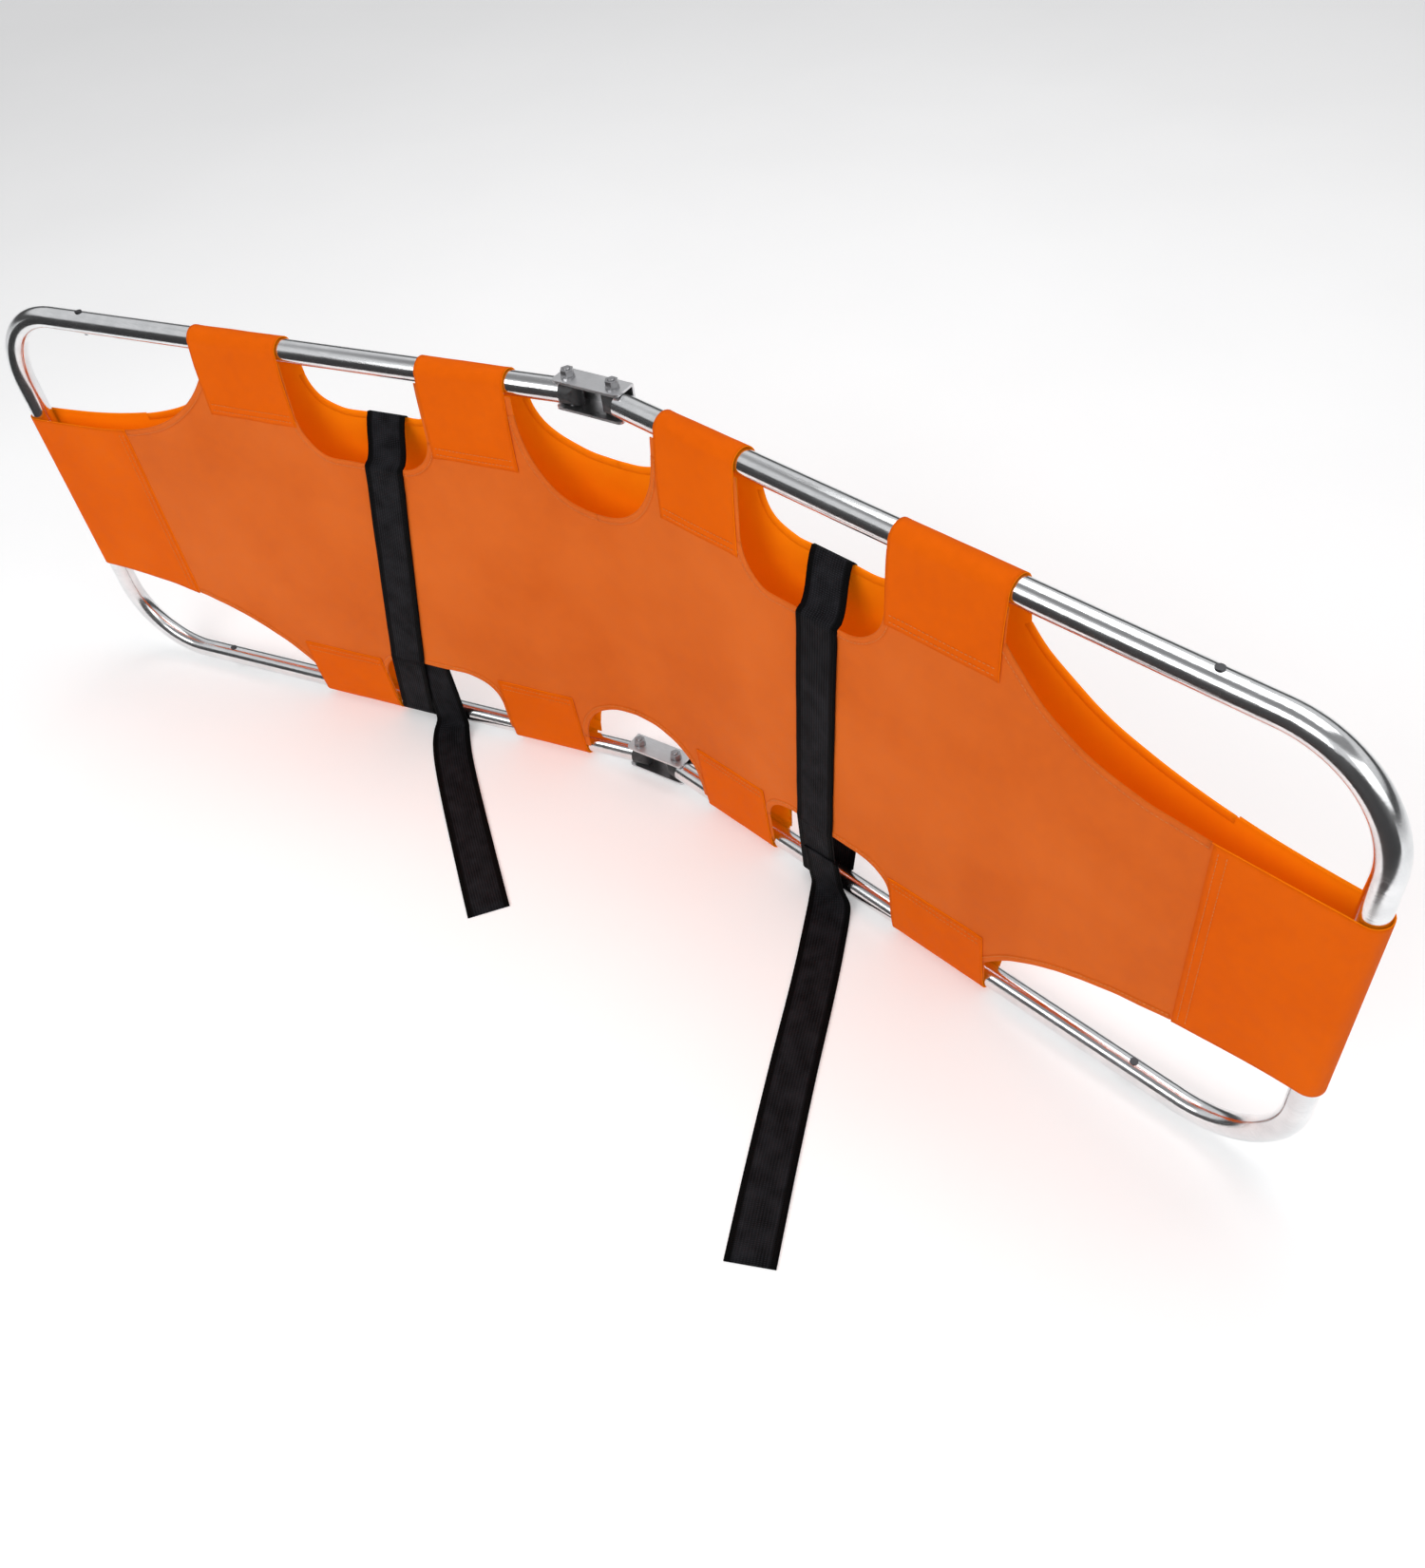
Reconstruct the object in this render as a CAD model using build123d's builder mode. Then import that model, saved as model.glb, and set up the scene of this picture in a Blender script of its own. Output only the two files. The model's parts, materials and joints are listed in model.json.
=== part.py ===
# Folding stretcher, in millimetres, +Z up.
# It stands on one long edge, part folded like a screen: the length runs along X, the side
# rails lie one above the other, and both halves lean towards -Y, the side a casualty lies on.
import os
from math import cos, radians, sin, sqrt

from build123d import *

os.makedirs("parts", exist_ok=True)

# ---- frame ----
flat_length = 1850          # over the end bars, opened flat
rail_spacing = 556          # centre to centre of the side rails
tube_od = 28
tube_wall = 1.5
corner_radius = 110         # at the tube's centreline
bow_joint = 770             # from mid-length to where the end bow meets the rails
spigot_length = 50          # of the end bow inside each rail
slide_gap = 0.05            # radial, spigot or plug in a tube
rivet_dia = 5
rivet_head_dia = 9
rivet_head_height = 1.2
rivet_inset = 25            # rivet centre back from the bow joint

# ---- hinges ----
pin_spacing = 60            # between the two bolts of a bracket
bracket_length = 90
bracket_plate = 3
channel_gap = 0.5           # between the tube and the channel, all round
flange_reach = 13           # of each flange in front of the tube's centre
bolt_dia = 8
pivot_gap = 0.08            # radial, bolt in its plug
hole_gap = 0.1              # radial, bolt in a flange, washer or nut
bolt_head_dia = 14
bolt_head_height = 4.4
washer_dia = 16
washer_thickness = 1.6
nut_flats = 13
nut_height = 8
thread_end = 1.5            # of the bolt past its nut
tube_start = 9              # from the bolt's centre to the tube's cut end
plug_depth = 30
plug_relief = 0.25          # off each side of a plug's tongue
left_angle = 9.0            # of each half from straight, as it stands
right_angle = 12.5

# ---- bed cloth ----
cloth = 2.4                 # doubled cloth
cloth_gap = 0.2             # cloth to tube
back_slack = 1.6            # back layer's edge to the bolt line, each side
front_slack = 18            # front layer's, which swings inwards as the halves close
handhold_depth = 104        # rail centre to the cut edge
centre_depth = 111
end_half_height = 123       # bed at the end bar
centre_round = 62           # length of the centre cut's rounded side
taper_start = 625           # from mid-length, where the bed starts to narrow
taper_end = 752
inner_sleeve = (108, 225)   # from mid-length
outer_sleeve = (424, 558)
end_hem_depth = 151         # end bar centre to its sleeve's hem

# ---- straps ----
strap_width = 55
strap_thickness = 2
strap_gap = 0.4
strap_ring_gap = 3.2        # strap to tube where it goes round the lower rail
tail_side_gap = 6           # tail to strap, along the rail
tail_hook = 8               # of the tail behind the rail's centre
# from mid-length to the strap's middle at its top and at the lower rail
left_strap = (298, 392)
right_strap = (340, 306)
# middle of each tail's end on the floor, from the middle of the bolt line
left_tail_end = (-55, -313)
right_tail_end = (481, -541)

# ---- worked out ----
tube_r = tube_od / 2
bore_r = tube_r - tube_wall
spigot_r = bore_r - slide_gap
pin_x = pin_spacing / 2
channel_half = tube_r + channel_gap
plate_out = channel_half + bracket_plate
lower_z = plate_out + bolt_head_height
upper_z = lower_z + rail_spacing
middle_z = (lower_z + upper_z) / 2
rail_z = {1: upper_z, -1: lower_z}
bow_axis = flat_length / 2 - tube_r - pin_x      # from the bolt
bow_start = bow_joint - pin_x
sleeve_r = tube_r + cloth_gap
layer_y = sleeve_r + cloth / 2        # middle of the bed's front and back layers
layers = (("front", 1, front_slack), ("back", -1, back_slack))
strap_r = tube_r + strap_ring_gap
tail_r = tube_r + strap_gap

# The origin is under the middle of the box that the whole thing fills.
right_reach = pin_x + bow_axis * cos(radians(right_angle)) + sleeve_r + cloth
left_reach = pin_x + bow_axis * cos(radians(left_angle)) + sleeve_r + cloth
half_at_end = strap_width / 2


def tail_start(side, angle, s):
    """Middle of a tail where it comes over the lower rail, from the middle of the bolt line."""
    d = s - pin_x
    return (side * (pin_x + d * cos(radians(angle))), -d * sin(radians(angle)))


left_tail_at = left_strap[1] - strap_width - tail_side_gap
right_tail_at = right_strap[1] + strap_width + tail_side_gap
run = Vector(*right_tail_end) - Vector(*tail_start(1, right_angle, right_tail_at))
front_reach = -right_tail_end[1] + half_at_end * abs(run.normalized().X)
origin_x = (left_reach - right_reach) / 2
origin_y = (front_reach - plate_out) / 2


def save(piece, name):
    piece.part.label = name
    export_step(piece.part, f"parts/{name}.step")


def belt(big_r, small_r, distance, mode=Mode.ADD):
    """Outline of a band pulled round two circles, the big one at the origin."""
    slope = (big_r - small_r) / distance
    rise = sqrt(1 - slope**2)
    big_top = Vector(slope, rise) * big_r
    small_top = Vector(distance, 0) + Vector(slope, rise) * small_r
    with BuildLine() as outline:
        Line(big_top, small_top)
        ThreePointArc(small_top, (distance + small_r, 0), (small_top.X, -small_top.Y))
        Line((small_top.X, -small_top.Y), (big_top.X, -big_top.Y))
        ThreePointArc((big_top.X, -big_top.Y), (-big_r, 0), big_top)
    make_face(outline.edges(), mode=mode)


def sleeve_section(distance):
    """A sleeve round a tube, open where its two legs meet the bed's layers."""
    belt(sleeve_r + cloth, sleeve_r + cloth, distance)
    belt(sleeve_r, sleeve_r, distance, Mode.SUBTRACT)
    with Locations((distance + tube_od / 2, 0)):
        Rectangle(tube_od, 2 * tube_od, mode=Mode.SUBTRACT)


def upright_cut(centre_x, centre_y, radius, low, high):
    """Vertical hole through the part in the making."""
    with BuildSketch(Plane((centre_x, centre_y, low))) as hole:
        Circle(radius)
    extrude(hole.sketch, amount=high - low, mode=Mode.SUBTRACT)


def make_half(word, side, angle, strap_at, tail_at, tail_end):
    a = radians(angle)
    out = Vector(side * cos(a), -sin(a), 0)
    hinge = Vector(origin_x + side * pin_x, origin_y, 0)
    facing = out.cross(Vector(0, 0, 1))
    viewer = facing * side

    def at(x, y, z):
        return hinge + out * x + viewer * y + Vector(0, 0, z)

    def across(x, z, up=1):
        # section plane across the rails, local x up or down, local y square to the bed
        return Plane(at(x, 0, z), x_dir=(0, 0, up), z_dir=out)

    face = Plane(hinge, x_dir=out, z_dir=facing)
    rivet_at = at(bow_start - rivet_inset, 0, 0)

    for level, sign in (("upper", 1), ("lower", -1)):
        z = rail_z[sign]
        with BuildPart() as rail:
            with BuildSketch(across(tube_start, z)):
                Circle(tube_r)
                Circle(bore_r, mode=Mode.SUBTRACT)
            extrude(amount=bow_start - tube_start)
            upright_cut(rivet_at.X, rivet_at.Y, rivet_dia / 2 + slide_gap, z - tube_od, z + tube_od)
        save(rail, f"{word}_{level}_rail")

        with BuildPart() as plug:
            with BuildSketch(across(-tube_r, z)):
                Circle(tube_r)
            extrude(amount=tube_r + tube_start)
            with BuildSketch(Plane(at(0, 0, z - tube_od), x_dir=out, z_dir=(0, 0, 1))):
                Circle(tube_r - plug_relief)
                with Locations((tube_start, 0)):
                    Rectangle(2 * tube_start, tube_od - 2 * plug_relief)
            extrude(amount=2 * tube_od, mode=Mode.INTERSECT)
            with BuildSketch(across(tube_start, z)):
                Circle(spigot_r)
            extrude(amount=plug_depth)
            upright_cut(hinge.X, hinge.Y, bolt_dia / 2 + pivot_gap, z - tube_od, z + tube_od)
        save(plug, f"{word}_{level}_end_plug")

        for place, span in (("inner", inner_sleeve), ("outer", outer_sleeve)):
            with BuildPart() as sleeve:
                with BuildSketch(across(span[0] - pin_x, z, -sign)):
                    sleeve_section(handhold_depth)
                extrude(amount=span[1] - span[0])
            save(sleeve, f"{word}_{level}_{place}_sleeve")

    with BuildPart() as bow:
        with BuildLine(face) as route:
            FilletPolyline((bow_start, lower_z), (bow_axis, lower_z),
                           (bow_axis, upper_z), (bow_start, upper_z), radius=corner_radius)
        with BuildSketch(Plane(route.wires()[0] @ 0, z_dir=route.wires()[0] % 0)):
            Circle(tube_r)
            Circle(bore_r, mode=Mode.SUBTRACT)
        sweep(path=route.wires()[0])
        for z in (upper_z, lower_z):
            with BuildSketch(across(bow_start, z)):
                Circle(tube_r)
                Circle(spigot_r - tube_wall, mode=Mode.SUBTRACT)
            extrude(amount=tube_wall)
            with BuildSketch(across(bow_start - spigot_length, z)):
                Circle(spigot_r)
                Circle(spigot_r - tube_wall, mode=Mode.SUBTRACT)
            extrude(amount=spigot_length)
            upright_cut(rivet_at.X, rivet_at.Y, rivet_dia / 2 + slide_gap, z - tube_od, z + tube_od)
    save(bow, f"{word}_end_bow")

    with BuildPart() as rivets:
        for z in (upper_z, lower_z):
            with BuildSketch(Plane((rivet_at.X, rivet_at.Y, z - tube_r))):
                Circle(rivet_dia / 2)
            extrude(amount=tube_od)
            for head_z in (z - tube_r - rivet_head_height, z + tube_r):
                with BuildSketch(Plane((rivet_at.X, rivet_at.Y, head_z))):
                    Circle(rivet_head_dia / 2)
                extrude(amount=rivet_head_height)
    save(rivets, f"{word}_corner_rivets")

    for layer, forward, slack in layers:
        with BuildPart() as bed:
            layer_plane = Plane(at(0, forward * layer_y, 0), x_dir=out, z_dir=facing)
            with BuildSketch(layer_plane):
                with BuildLine():
                    corners = {}
                    for sign in (1, -1):
                        hand_z = middle_z + sign * (rail_spacing / 2 - handhold_depth)
                        centre_z = middle_z + sign * (rail_spacing / 2 - centre_depth)
                        end_z = middle_z + sign * end_half_height
                        start = (slack, centre_z)
                        shoulder = (slack + centre_round, hand_z)
                        narrow = (taper_start - pin_x, hand_z)
                        tip = (taper_end - pin_x, end_z)
                        end = (bow_axis - end_hem_depth, end_z)
                        TangentArc(start, shoulder, tangent=(1, 0))
                        Line(shoulder, narrow)
                        TangentArc(tip, narrow, tangent=(-1, 0))
                        Line(tip, end)
                        corners[sign] = (start, end)
                    Line(corners[1][0], corners[-1][0])
                    Line(corners[1][1], corners[-1][1])
                make_face()
            extrude(amount=cloth / 2, both=True)
        save(bed, f"{word}_bed_{layer}")

    with BuildPart() as end_sleeve:
        low = middle_z - end_half_height
        with BuildSketch(Plane(at(bow_axis, 0, low), x_dir=-out, z_dir=(0, 0, 1))):
            sleeve_section(end_hem_depth)
        extrude(amount=2 * end_half_height)
    save(end_sleeve, f"{word}_end_sleeve")

    # strap: a loop over the bed's upper edge and round the lower rail, cut to its slant
    top_z = upper_z - handhold_depth
    top_r = sleeve_r + cloth + strap_gap
    strap_x = [s - pin_x for s in strap_at]
    slant = (strap_x[0] - strap_x[1]) / (top_z - lower_z)
    low_end, high_end = lower_z - tube_od, top_z + tube_od
    with BuildPart() as strap:
        with BuildSketch(across(min(strap_x) - strap_width, lower_z)):
            belt(strap_r + strap_thickness, top_r + strap_thickness, top_z - lower_z)
            belt(strap_r, top_r, top_z - lower_z, Mode.SUBTRACT)
        extrude(amount=abs(strap_x[0] - strap_x[1]) + 2 * strap_width)
        with BuildSketch(face):
            with BuildLine():
                foot = strap_x[1] + slant * (low_end - lower_z)
                head = strap_x[1] + slant * (high_end - lower_z)
                half_w = strap_width / 2
                Polyline((foot - half_w, low_end), (foot + half_w, low_end),
                         (head + half_w, high_end), (head - half_w, high_end), close=True)
            make_face()
        extrude(amount=tube_od, both=True, mode=Mode.INTERSECT)
    save(strap, f"{word}_strap")

    # tail: over the lower rail, down to the floor and out along it
    tail_x = tail_at - pin_x
    half_w = strap_width / 2
    hook_y = (tail_r - tail_hook) / 2
    with BuildPart() as tail:
        with BuildSketch(across(tail_x - half_w, lower_z)):
            with Locations((tail_r + strap_thickness / 2, side * hook_y)):
                Rectangle(strap_thickness, tail_r + tail_hook)
            with Locations(((tail_r + strap_thickness - lower_z) / 2,
                            side * (tail_r + strap_thickness / 2))):
                Rectangle(tail_r + strap_thickness + lower_z, strap_thickness)
        extrude(amount=strap_width)
        far = Vector(origin_x + tail_end[0], origin_y + tail_end[1], 0)
        near = at(tail_x, tail_r, 0)
        forward = (far - near).normalized()
        right = Vector(-forward.Y, forward.X, 0) * half_w
        corner_a = at(tail_x - half_w, tail_r, 0)
        corner_b = at(tail_x + half_w, tail_r, 0)
        flip = 1 if (corner_b - corner_a).dot(right) > 0 else -1
        with BuildSketch():
            with BuildLine():
                Polyline(corner_a, corner_b, far + right * flip, far - right * flip, close=True)
            make_face()
        extrude(amount=strap_thickness)
    save(tail, f"{word}_strap_tail")


make_half("left", -1, left_angle, left_strap, left_tail_at, left_tail_end)
make_half("right", 1, right_angle, right_strap, right_tail_at, right_tail_end)

# ---- hinge brackets, bolts, nuts and washers ----
for level, sign in (("upper", 1), ("lower", -1)):
    z = rail_z[sign]
    with BuildPart() as bracket:
        with BuildSketch(Plane((origin_x - bracket_length / 2, origin_y, z),
                               x_dir=(0, 1, 0), z_dir=(1, 0, 0))):
            with Locations(((plate_out - flange_reach) / 2, 0)):
                Rectangle(plate_out + flange_reach, 2 * plate_out)
            with Locations(((channel_half - flange_reach) / 2, 0)):
                Rectangle(channel_half + flange_reach, 2 * channel_half, mode=Mode.SUBTRACT)
        extrude(amount=bracket_length)
        front_corners = bracket.edges().filter_by(Axis.Z).group_by(Axis.Y)[0]
        fillet(front_corners, 2 * bracket_plate)
        back_edges = bracket.edges().filter_by(Axis.X).group_by(Axis.Y)[-1]
        fillet(back_edges, bracket_plate / 2)
        for side in (-1, 1):
            upright_cut(origin_x + side * pin_x, origin_y, bolt_dia / 2 + hole_gap,
                        z - tube_od, z + tube_od)
    save(bracket, f"{level}_bracket")

    for word, side in (("left", -1), ("right", 1)):
        x = origin_x + side * pin_x
        with BuildPart() as bolt:
            with BuildSketch(Plane((x, origin_y, z - plate_out - bolt_head_height))):
                Circle(bolt_head_dia / 2)
            extrude(amount=bolt_head_height)
            fillet(bolt.edges().group_by(Axis.Z)[0], bolt_head_height / 2)
            with BuildSketch(Plane((x, origin_y, z - plate_out))):
                Circle(bolt_dia / 2)
            extrude(amount=2 * plate_out + washer_thickness + nut_height + thread_end)
            chamfer(bolt.edges().group_by(Axis.Z)[-1], thread_end / 2)
        save(bolt, f"{level}_{word}_bolt")

    with BuildPart() as washers:
        for side in (-1, 1):
            with BuildSketch(Plane((origin_x + side * pin_x, origin_y, z + plate_out))):
                Circle(washer_dia / 2)
                Circle(bolt_dia / 2 + hole_gap, mode=Mode.SUBTRACT)
            extrude(amount=washer_thickness)
    save(washers, f"{level}_washers")

    with BuildPart() as nuts:
        for side in (-1, 1):
            with BuildSketch(Plane((origin_x + side * pin_x, origin_y,
                                    z + plate_out + washer_thickness))):
                RegularPolygon(nut_flats / 2, 6, major_radius=False)
                Circle(bolt_dia / 2 + hole_gap, mode=Mode.SUBTRACT)
            extrude(amount=nut_height)
    save(nuts, f"{level}_nuts")

for layer, forward, slack in layers:
    with BuildPart() as bed_centre:
        with BuildSketch(Plane((origin_x, origin_y - forward * layer_y, middle_z),
                               x_dir=(1, 0, 0), z_dir=(0, -1, 0))):
            Rectangle(pin_spacing - 2 * slack, rail_spacing - 2 * centre_depth)
        extrude(amount=cloth / 2, both=True)
    save(bed_centre, f"bed_centre_{layer}")

print("origin to bolt line", round(origin_x, 3), round(origin_y, 3))
print("rail heights", lower_z, upper_z)
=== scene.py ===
import json
import math

import bmesh
import bpy
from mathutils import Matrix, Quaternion, Vector, noise


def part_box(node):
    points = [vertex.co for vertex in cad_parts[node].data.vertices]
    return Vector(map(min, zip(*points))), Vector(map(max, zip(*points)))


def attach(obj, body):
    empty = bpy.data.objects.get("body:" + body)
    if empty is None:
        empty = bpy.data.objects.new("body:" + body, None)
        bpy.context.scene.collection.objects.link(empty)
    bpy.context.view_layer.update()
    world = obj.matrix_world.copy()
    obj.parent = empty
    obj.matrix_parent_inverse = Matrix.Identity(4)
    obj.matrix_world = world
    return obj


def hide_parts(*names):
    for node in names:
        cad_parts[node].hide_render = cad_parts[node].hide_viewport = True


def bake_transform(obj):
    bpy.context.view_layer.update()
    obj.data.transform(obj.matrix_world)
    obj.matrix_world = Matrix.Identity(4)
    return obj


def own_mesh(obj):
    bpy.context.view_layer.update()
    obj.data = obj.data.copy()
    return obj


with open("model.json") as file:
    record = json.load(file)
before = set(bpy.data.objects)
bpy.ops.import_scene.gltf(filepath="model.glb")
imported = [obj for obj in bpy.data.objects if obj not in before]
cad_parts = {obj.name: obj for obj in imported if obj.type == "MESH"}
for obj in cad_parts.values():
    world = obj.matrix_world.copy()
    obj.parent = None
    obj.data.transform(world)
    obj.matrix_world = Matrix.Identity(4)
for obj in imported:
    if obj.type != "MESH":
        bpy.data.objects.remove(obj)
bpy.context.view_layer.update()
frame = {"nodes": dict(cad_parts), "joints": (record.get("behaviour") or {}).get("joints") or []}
scene = bpy.context.scene

bed = {
    "railRadius": 0.014,
    "cloth": 0.0011,          # thickness
    "layGap": 0.0001,         # between a layer and what is sewn on it
    "layerDepth": 0.0149,     # middle of a layer from the rails' plane, at the rails
    "bulge": 0.0098,          # how much further out it stands at mid height
    "flare": {1: 0.0030, -1: 0.0034},     # extra at the free cut edges, front and back
    "bendReach": 0.11,        # the cloth cuts the corner of the fold between these
    "blendReach": 0.07,
    "centreHalf": 0.1005, "centreLow": 0.167, "centreHigh": 0.262,
    "handhold": (0.2295, 0.4225), "handholdLow": 0.174, "handholdRound": 0.048,
    "shoulder": 0.5595, "shoulderHigh": 0.112, "taper": 0.088, "endHalf": 0.1205,
    "underWrap": 0.270,
    "endBar": 0.911,
    "flat": (0.556, 0.911), "area": 0.36,      # one layer of one half, before it was sewn
    # how far each cut edge is moved, by layer (1 front) and level (1 upper)
    "lift": {(1, 1): -0.022, (1, -1): 0.0, (-1, 1): 0.019, (-1, -1): 0.004},
}

def smooth(low, high, x):
    t = min(max((x - low) / (high - low), 0.0), 1.0)
    return t * t * (3 - 2 * t)


halves = {}
for joint in frame["joints"]:
    word = joint["child"].split("_")[0]
    side = -1 if word == "left" else 1
    fold = math.radians(-joint["range_deg"][0])
    halves[word] = {
        "side": side,
        "joint": joint["name"],
        "body": joint["child"],
        "hinge": Vector(joint["pos_m"]),
        "out": Vector((side * math.cos(fold), -math.sin(fold), 0)),
        "viewer": Vector((-side * math.sin(fold), -math.cos(fold), 0)),
    }
pinHalf = (halves["right"]["hinge"] - halves["left"]["hinge"]).length / 2
lowRail, highRail = (
    sum(c.z for c in map(Vector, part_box(f"left_{level}_rail"))) / 2
    for level in ("lower", "upper")
)
midHeight = (lowRail + highRail) / 2
railAt = (highRail - lowRail) / 2


def onHalf(word, s, n=0.0, w=0.0):
    h = halves[word]
    rise = Vector((0, 0, midHeight - h["hinge"].z + w))
    return h["hinge"] + h["out"] * (s - pinHalf) + h["viewer"] * n + rise


def foldCorner():
    a, b = halves["left"], halves["right"]
    p, d, q, e = a["hinge"], a["out"], b["hinge"], b["out"]
    t = ((q.x - p.x) * e.y - (q.y - p.y) * e.x) / (d.x * e.y - d.y * e.x)
    return p + d * t


cornerPoint = foldCorner()


def bedPoint(word, s, w, n):
    h = halves[word]
    reach = bed["bendReach"]
    if s >= reach:
        return onHalf(word, s, n, w)
    near = onHalf("left", reach)
    far = onHalf("right", reach)
    near.z = far.z = 0
    mid = Vector((cornerPoint.x, cornerPoint.y, 0))
    t = 0.5 + 0.5 * h["side"] * s / reach
    p = near * (1 - t) ** 2 + mid * 2 * t * (1 - t) + far * t * t
    along = ((mid - near) * (1 - t) + (far - mid) * t).normalized()
    facing = Vector((along.y, -along.x, 0))
    p += facing * n
    p.z = midHeight + w
    return p


def cutEdge(s, sign=1, up=1):
    lift = bed["lift"][(sign, up)]
    if s < bed["centreHalf"]:
        r = (s / bed["centreHalf"]) ** 2.2
        rise = 1 - (1 - r) ** (1 / 2.2)
        return bed["centreLow"] + lift + (bed["centreHigh"] - bed["centreLow"] - lift) * rise
    a, b = bed["handhold"]
    if a <= s <= b:
        d = min(s - a, b - s)
        r = bed["handholdRound"]
        low = bed["handholdLow"] + lift
        return low if d >= r else low + r - math.sqrt(max(r * r - (r - d) ** 2, 0))
    if s >= bed["shoulder"]:
        return bed["endHalf"] + bed["shoulderHigh"] * math.exp(-(s - bed["shoulder"]) / bed["taper"])
    return bed["underWrap"]


def freeEdge(s):
    a, b = bed["handhold"]
    centre = 1 - smooth(0.05, 0.10, s)
    hold = smooth(a, a + 0.04, s) * (1 - smooth(b - 0.04, b, s))
    outer = smooth(0.57, 0.62, s) * (1 - smooth(0.70, 0.86, s))
    return max(centre, hold, 0.6 * outer)


wraps = {
    "inner": {"span": (0.108, 0.225), "hem": 0.176},
    "outer": {"span": (0.424, 0.558), "hem": 0.187},
}


wrinkles = {"broad": 0.0011, "fine": 0.0005, "edge": 0.0012, "pull": 0.0006, "pullReach": 0.075}


def drag(s, w, seed):
    total = 0.0
    for span in (wraps["inner"]["span"], wraps["outer"]["span"]):
        for at in span:
            for level in (-0.18, 0.18):
                ds, dw = s - at, w - level
                far = math.hypot(ds, dw)
                angle = math.atan2(dw, ds)
                pull = wrinkles["pull"] * math.exp(-far / wrinkles["pullReach"])
                pull *= math.sin(5 * angle + seed + at * 40)
                total += pull * smooth(0, 0.06, far)
    return total


def layerOut(s, w, sign):
    across = max(1 - (w / railAt) ** 2, 0) ** 0.8
    ends = 1 - smooth(0.60, bed["endBar"], s) ** 1.3
    out = bed["bulge"] * across * ends
    gap = max(cutEdge(s, sign, 1 if w > 0 else -1) - abs(w), 0)
    out += bed["flare"][sign] * freeEdge(s) * math.exp(-gap / 0.032) * ends
    seed = 3.1 if sign > 0 else 8.7
    soft = across * ends
    out += wrinkles["broad"] * soft * noise.noise(Vector((s * 5.2 * 1.3, w * 9.5, seed)))
    out += wrinkles["fine"] * soft * noise.noise(Vector((s * 22, w * 30, seed + 4)))
    out += drag(s, w, seed) * ends
    ripple = noise.noise(Vector((s * 34, sign * 5 + (9 if w > 0 else 2), seed)))
    out += wrinkles["edge"] * freeEdge(s) * math.exp(-gap / 0.02) * ripple
    return bed["layerDepth"] + out


def meshObject(name, verts, faces, uvs=None):
    mesh = bpy.data.meshes.new(name)
    mesh.from_pydata([tuple(v) for v in verts], [], faces)
    if uvs is not None:
        layer = mesh.uv_layers.new(name="flat")
        for loop in mesh.loops:
            layer.data[loop.index].uv = uvs[loop.vertex_index]
    for polygon in mesh.polygons:
        polygon.use_smooth = True
    mesh.validate()
    obj = bpy.data.objects.new(name, mesh)
    scene.collection.objects.link(obj)
    return obj


def gridObject(name, grid, flat, closed=False):
    rows, cols = len(grid), len(grid[0])
    verts = [p for row in grid for p in row]
    uvs = [p for row in flat for p in row]
    faces = []
    for i in range(rows if closed else rows - 1):
        for j in range(cols - 1):
            a, b = i * cols + j, ((i + 1) % rows) * cols + j
            faces.append((a, a + 1, b + 1, b))
    return meshObject(name, verts, faces, uvs)


def thicken(obj, thickness, inner=0):
    solid = obj.modifiers.new("thickness", "SOLIDIFY")
    solid.thickness = thickness
    solid.offset = 0.0
    solid.use_even_offset = False
    solid.material_offset = inner
    solid.material_offset_rim = inner
    applyModifiers(obj)


def openSeam(obj):
    work = bmesh.new()
    work.from_mesh(obj.data)
    seam = 0.0004                 # half the depth of what is opened
    middle = bedPoint("left", 0, 0, 0)
    facing = bedPoint("left", 0, 0, 1) - middle
    along = Vector((-facing.y, facing.x, 0))
    middle.z = 0
    rim = [
        f for f in work.faces
        if all(abs((v.co - middle).dot(along)) < seam for v in f.verts)
    ]
    print(f"{len(rim)} rim faces opened at the middle")
    bmesh.ops.delete(work, geom=rim, context="FACES_ONLY")
    work.to_mesh(obj.data)
    work.free()


def applyModifiers(obj):
    depsgraph = bpy.context.evaluated_depsgraph_get()
    mesh = bpy.data.meshes.new_from_object(obj.evaluated_get(depsgraph))
    obj.modifiers.clear()
    obj.data = mesh
    for polygon in mesh.polygons:
        polygon.use_smooth = True


def faceOutward(obj, word, sign):
    want = halves[word]["viewer"] * sign
    total = sum((p.normal * p.area for p in obj.data.polygons), Vector())
    if total.dot(want) < 0:
        obj.data.flip_normals()


def spread(low, high, step):
    count = max(int(round((high - low) / step)), 1)
    return [low + (high - low) * i / count for i in range(count + 1)]


def columnsOfBed():
    cols = []
    cols += spread(0, bed["centreHalf"] - 0.004, 0.0042)
    cols += spread(bed["centreHalf"] - 0.003, bed["centreHalf"] - 0.0001, 0.001)
    a, b = bed["handhold"]
    cols += spread(bed["centreHalf"] + 0.0002, a - 0.0002, 0.006)
    cols += spread(a, a + 0.008, 0.0016) + spread(a + 0.011, b - 0.011, 0.0045)
    cols += spread(b - 0.008, b, 0.0016)
    cols += spread(b + 0.0002, bed["shoulder"] - 0.0002, 0.006)
    cols += spread(bed["shoulder"], bed["endBar"] - 0.004, 0.006)
    return cols


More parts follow.
